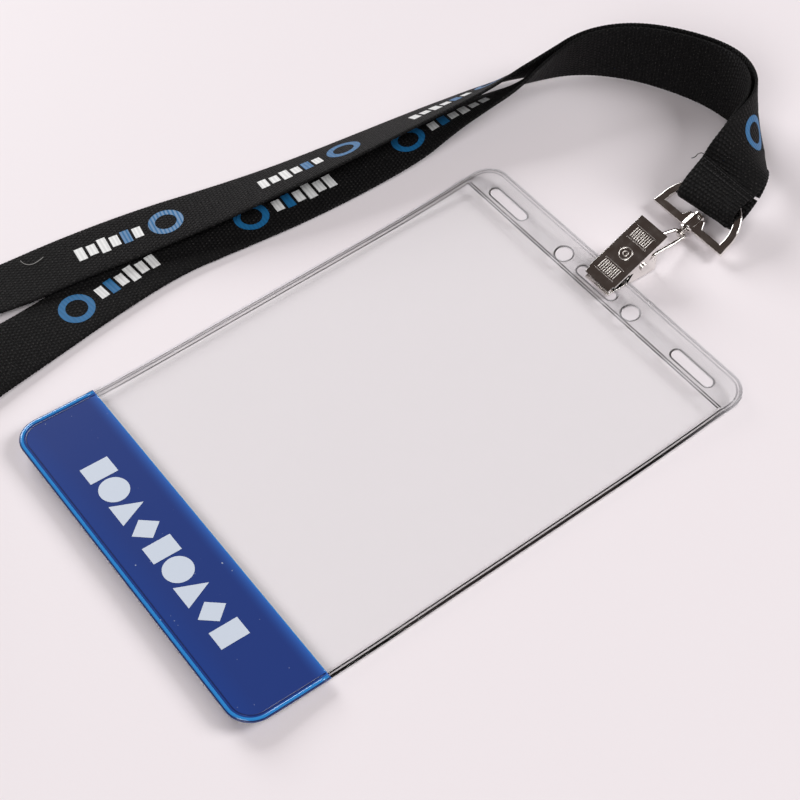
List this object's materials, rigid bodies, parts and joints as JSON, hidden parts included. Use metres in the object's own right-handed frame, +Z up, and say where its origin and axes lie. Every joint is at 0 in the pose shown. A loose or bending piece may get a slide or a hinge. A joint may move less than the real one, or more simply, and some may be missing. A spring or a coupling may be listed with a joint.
{
  "type": "lanyard badge holder",
  "caption": "Clear welded badge pouch with a coloured foot band, a sprung metal clip with wire bail and swivel D-ring, and a sewn neck ribbon.",
  "frame": {"origin": "middle of the flat rest face under the pouch, on the surface it lies on", "axes": "+Y from the coloured band to the clip, +Z up out of the pouch's front, +X across the pouch"},
  "size_m": [0.1931, 0.3557, 0.0226],
  "materials": {
    "clear_vinyl": "gloss",
    "blue_vinyl": "gloss",
    "nickel": "polished",
    "spring_steel": "satin",
    "ribbon": "matte"
  },
  "bodies": {
    "pouch": {"back_sheet": "clear_vinyl", "front_sheet": "clear_vinyl", "header_strip": "clear_vinyl", "colour_band": "blue_vinyl", "lower_jaw": "nickel", "hinge_pin": "nickel", "torsion_spring": "spring_steel"},
    "jaw": {"upper_jaw": "nickel"},
    "bail": {"wire_bail": "nickel"},
    "stud": {"swivel_stud": "nickel"},
    "ring": {"d_ring": "nickel"},
    "lanyard": {"sewn_end": "ribbon", "stitching": "ribbon", "far_strand": "ribbon", "near_strand": "ribbon"}
  },
  "joints": [
    {"name": "jaw_press", "type": "hinge", "parent": "pouch", "child": "jaw", "pos_m": [0, 0.08905, 0.0053], "axis": [-1, 0, 0], "range_deg": [0, 20], "stiffness_Nm_per_rad": 0.05, "springref_deg": -34.38},
    {"name": "bail_swing", "type": "hinge", "parent": "pouch", "child": "bail", "pos_m": [0, 0.09357, 0.00466], "axis": [1, 0, 0], "range_deg": [-40, 35]},
    {"name": "stud_tilt", "type": "hinge", "parent": "bail", "child": "stud", "pos_m": [0, 0.10883, 0.00165], "axis": [1, 0, 0], "range_deg": [-60, 25]},
    {"name": "ring_swivel", "type": "hinge", "parent": "stud", "child": "ring", "pos_m": [0, 0.1109, 0.0024], "axis": [0, 0.9397, 0.342], "continuous": true},
    {"name": "ribbon_hinge", "type": "hinge", "parent": "ring", "child": "lanyard", "pos_m": [0, 0.1235, 0.007], "axis": [1, 0, 0], "range_deg": [-10, 10]}
  ]
}
